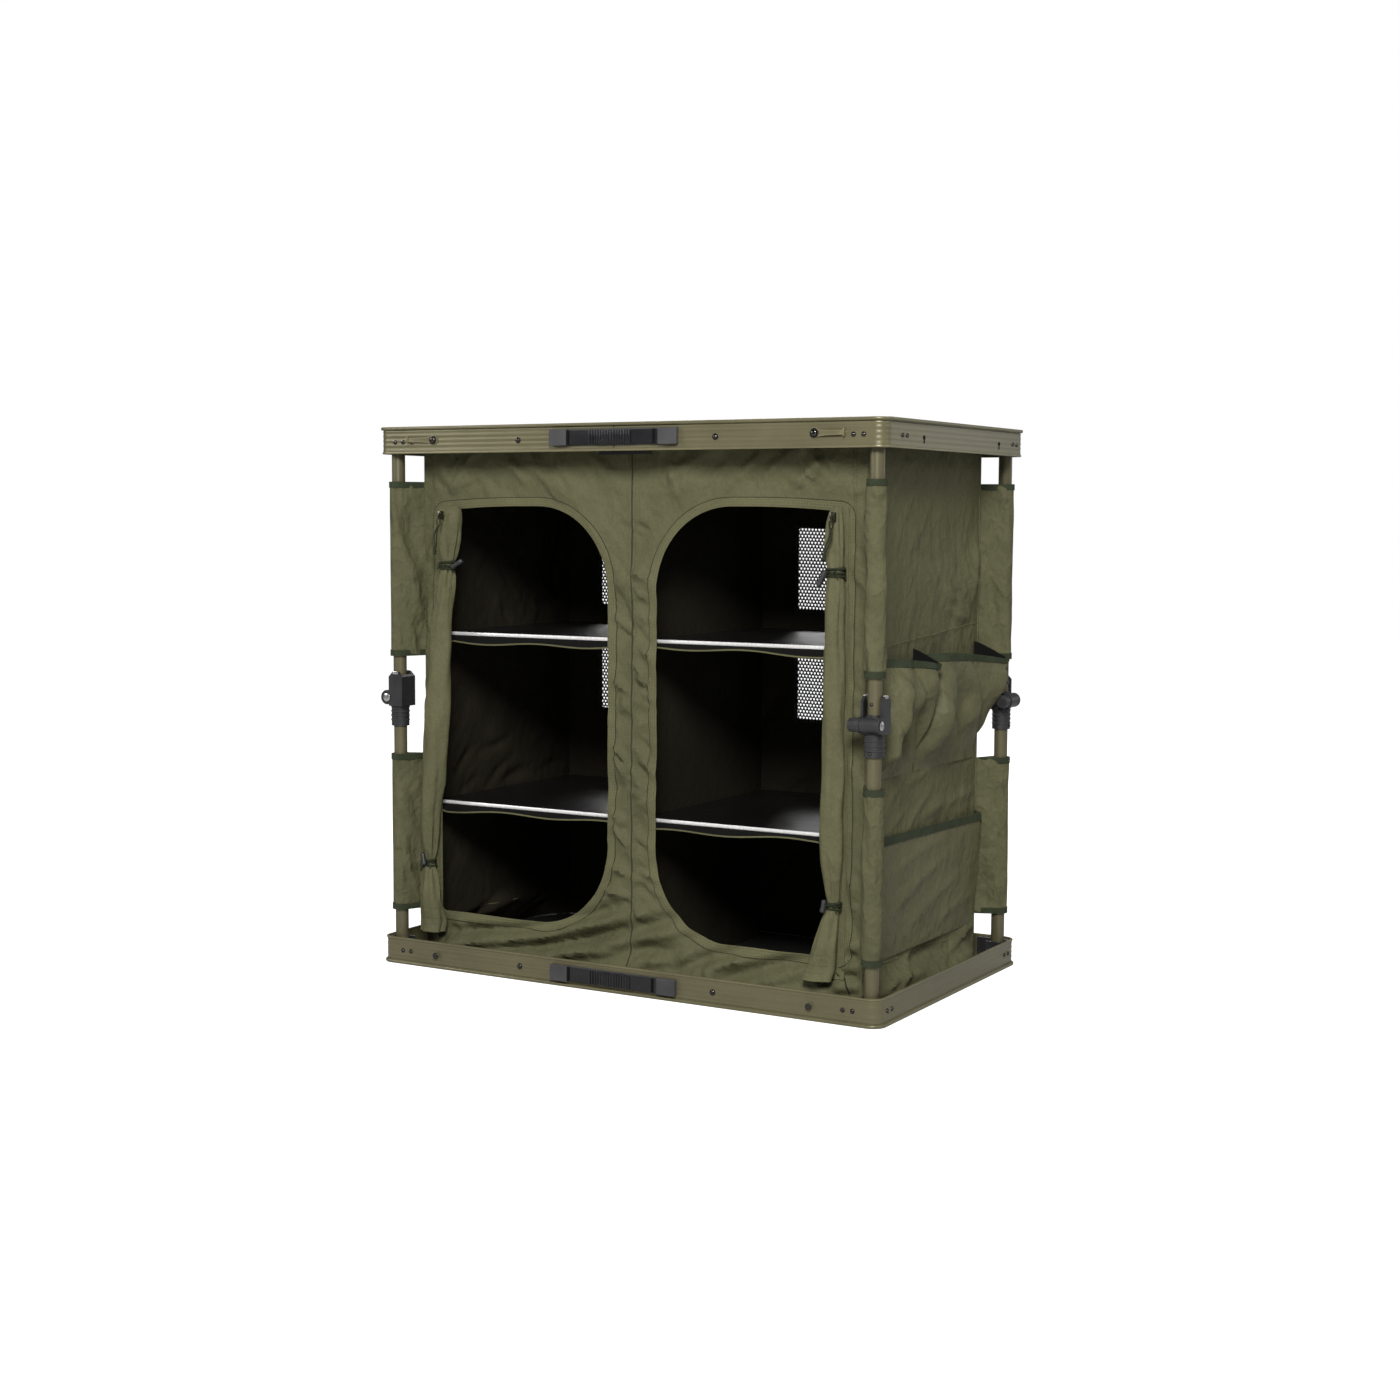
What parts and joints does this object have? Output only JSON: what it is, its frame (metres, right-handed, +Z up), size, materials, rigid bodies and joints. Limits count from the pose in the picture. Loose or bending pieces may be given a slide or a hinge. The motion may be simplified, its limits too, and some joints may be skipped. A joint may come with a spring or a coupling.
{
  "type": "folding tent storage cupboard",
  "caption": "Folding camp cupboard with a fabric body, zipped door openings, shelf boards, side pockets and knuckled corner legs between a rail-framed worktop and base.",
  "frame": {"origin": "middle of the footprint, on the ground under the base rail", "axes": "+X across the width, to the right of someone who faces the door openings; +Y from the front to the back; +Z up"},
  "size_m": [0.8, 0.474, 0.77],
  "materials": {
    "rail_paint": "olive-brown satin powder coat on extruded rail and tube",
    "worktop": "dark olive laminate on board",
    "base_board": "black laminate on board",
    "shelf_board": "black laminate with a bright edge strip",
    "black_plastic": "lightly grained moulded nylon",
    "grip_rubber": "ribbed soft grip",
    "bright_steel": "bright rivet",
    "olive_cloth": "olive polyester twill with a faint sheen",
    "black_cloth": "black coated polyester",
    "black_mesh": "black airmesh"
  },
  "bodies": {
    "base": {"base_rail": "rail_paint", "base_panel": "base_board", "base_bracket_front_left": "black_plastic", "base_bracket_front_right": "black_plastic", "base_bracket_back_right": "black_plastic", "base_bracket_back_left": "black_plastic", "base_handle_plate": "black_plastic", "latch_stud_left": "bright_steel", "latch_stud_right": "bright_steel", "front_panel": "olive_cloth", "back_wall": "olive_cloth", "side_wall_left": "olive_cloth", "side_wall_right": "olive_cloth", "divider": "black_cloth", "door_roll_left": "olive_cloth", "door_roll_right": "olive_cloth", "mesh_window_high_left": "black_mesh", "mesh_window_high_right": "black_mesh", "mesh_window_low_left": "black_mesh", "mesh_window_low_right": "black_mesh"},
    "base_grip": {"base_handle_grip": "grip_rubber"},
    "lower_leg_front_left": {"lower_tube_front_left": "rail_paint", "lower_knuckle_front_left": "black_plastic", "knuckle_pin_front_left": "bright_steel"},
    "lower_leg_front_right": {"lower_tube_front_right": "rail_paint", "lower_knuckle_front_right": "black_plastic", "knuckle_pin_front_right": "bright_steel"},
    "lower_leg_back_right": {"lower_tube_back_right": "rail_paint", "lower_knuckle_back_right": "black_plastic", "knuckle_pin_back_right": "bright_steel"},
    "lower_leg_back_left": {"lower_tube_back_left": "rail_paint", "lower_knuckle_back_left": "black_plastic", "knuckle_pin_back_left": "bright_steel"},
    "upper_leg_front_left": {"upper_tube_front_left": "rail_paint", "upper_knuckle_front_left": "black_plastic"},
    "upper_leg_front_right": {"upper_tube_front_right": "rail_paint", "upper_knuckle_front_right": "black_plastic"},
    "upper_leg_back_right": {"upper_tube_back_right": "rail_paint", "upper_knuckle_back_right": "black_plastic"},
    "upper_leg_back_left": {"upper_tube_back_left": "rail_paint", "upper_knuckle_back_left": "black_plastic"},
    "top": {"top_rail": "rail_paint", "top_panel": "worktop", "top_bracket_front_left": "black_plastic", "top_bracket_front_right": "black_plastic", "top_bracket_back_right": "black_plastic", "top_bracket_back_left": "black_plastic", "top_handle_plate": "black_plastic"},
    "top_grip": {"top_handle_grip": "grip_rubber"},
    "latch_left": {"latch_left": "rail_paint"},
    "latch_right": {"latch_right": "rail_paint"},
    "upper_shelves": {"shelf_board_upper_left": "shelf_board", "shelf_board_upper_right": "shelf_board", "shelf_sling_upper_left": "olive_cloth", "shelf_sling_upper_right": "olive_cloth"},
    "lower_shelves": {"shelf_board_lower_left": "shelf_board", "shelf_board_lower_right": "shelf_board", "shelf_sling_lower_left": "olive_cloth", "shelf_sling_lower_right": "olive_cloth"}
  },
  "joints": [
    {"name": "fold", "type": "hinge", "parent": "base", "child": "lower_leg_front_left", "pos_m": [-0.377, -0.21, 0.0255], "axis": [0, 1, 0], "range_deg": [0, 89.97], "deforming": ["front_panel", "back_wall", "side_wall_left", "side_wall_right", "divider", "door_roll_left", "door_roll_right", "mesh_window_high_left", "mesh_window_high_right", "mesh_window_low_left", "mesh_window_low_right", "shelf_sling_upper_left", "shelf_sling_upper_right", "shelf_sling_lower_left", "shelf_sling_lower_right"]},
    {"name": "knee_front_left", "type": "hinge", "parent": "lower_leg_front_left", "child": "upper_leg_front_left", "pos_m": [-0.3895, -0.21, 0.385], "axis": [0, -1, 0], "range_deg": [0, 180]},
    {"name": "top_pivot", "type": "hinge", "parent": "upper_leg_front_left", "child": "top", "pos_m": [-0.377, -0.21, 0.7445], "axis": [0, 1, 0], "range_deg": [0, 90]},
    {"name": "foot_front_right", "type": "hinge", "parent": "base", "child": "lower_leg_front_right", "pos_m": [0.377, -0.21, 0.0255], "axis": [-1, 0, 0], "range_deg": [0, 90]},
    {"name": "knee_front_right", "type": "hinge", "parent": "lower_leg_front_right", "child": "upper_leg_front_right", "pos_m": [0.377, -0.2225, 0.385], "axis": [1, 0, 0], "range_deg": [0, 180]},
    {"name": "foot_back_right", "type": "hinge", "parent": "base", "child": "lower_leg_back_right", "pos_m": [0.377, 0.214, 0.0255], "axis": [0, -1, 0], "range_deg": [0, 90]},
    {"name": "knee_back_right", "type": "hinge", "parent": "lower_leg_back_right", "child": "upper_leg_back_right", "pos_m": [0.3895, 0.214, 0.385], "axis": [0, 1, 0], "range_deg": [0, 180]},
    {"name": "foot_back_left", "type": "hinge", "parent": "base", "child": "lower_leg_back_left", "pos_m": [-0.377, 0.214, 0.0255], "axis": [1, 0, 0], "range_deg": [0, 90]},
    {"name": "knee_back_left", "type": "hinge", "parent": "lower_leg_back_left", "child": "upper_leg_back_left", "pos_m": [-0.377, 0.2265, 0.385], "axis": [-1, 0, 0], "range_deg": [0, 180]},
    {"name": "lower_shelves_drop", "type": "slide", "parent": "base", "child": "lower_shelves", "axis": [0, 0, -1], "range_m": [0, 0.214]},
    {"name": "upper_shelves_rise", "type": "slide", "parent": "top", "child": "upper_shelves", "axis": [0, 0, 1], "range_m": [0, 0.265]},
    {"name": "base_grip_pull", "type": "slide", "parent": "base", "child": "base_grip", "axis": [0, -1, 0], "range_m": [0, 0.012]},
    {"name": "top_grip_pull", "type": "slide", "parent": "top", "child": "top_grip", "axis": [0, -1, 0], "range_m": [0, 0.012]},
    {"name": "latch_left_turn", "type": "hinge", "parent": "top", "child": "latch_left", "pos_m": [-0.299, -0.23, 0.751], "axis": [0, -1, 0], "range_deg": [0, 90]},
    {"name": "latch_right_turn", "type": "hinge", "parent": "top", "child": "latch_right", "pos_m": [0.299, -0.23, 0.751], "axis": [0, 1, 0], "range_deg": [0, 90]}
  ],
  "couplings": [
    {"joint": "knee_front_left", "follows": "fold", "ratio": 2},
    {"joint": "top_pivot", "follows": "fold", "ratio": 1},
    {"joint": "foot_front_right", "follows": "fold", "ratio": 1},
    {"joint": "knee_front_right", "follows": "fold", "ratio": 2},
    {"joint": "foot_back_right", "follows": "fold", "ratio": 1},
    {"joint": "knee_back_right", "follows": "fold", "ratio": 2},
    {"joint": "foot_back_left", "follows": "fold", "ratio": 1},
    {"joint": "knee_back_left", "follows": "fold", "ratio": 2},
    {"joint": "lower_shelves_drop", "follows": "fold", "m_per_rad": 0.1362},
    {"joint": "upper_shelves_rise", "follows": "fold", "m_per_rad": 0.1687}
  ]
}
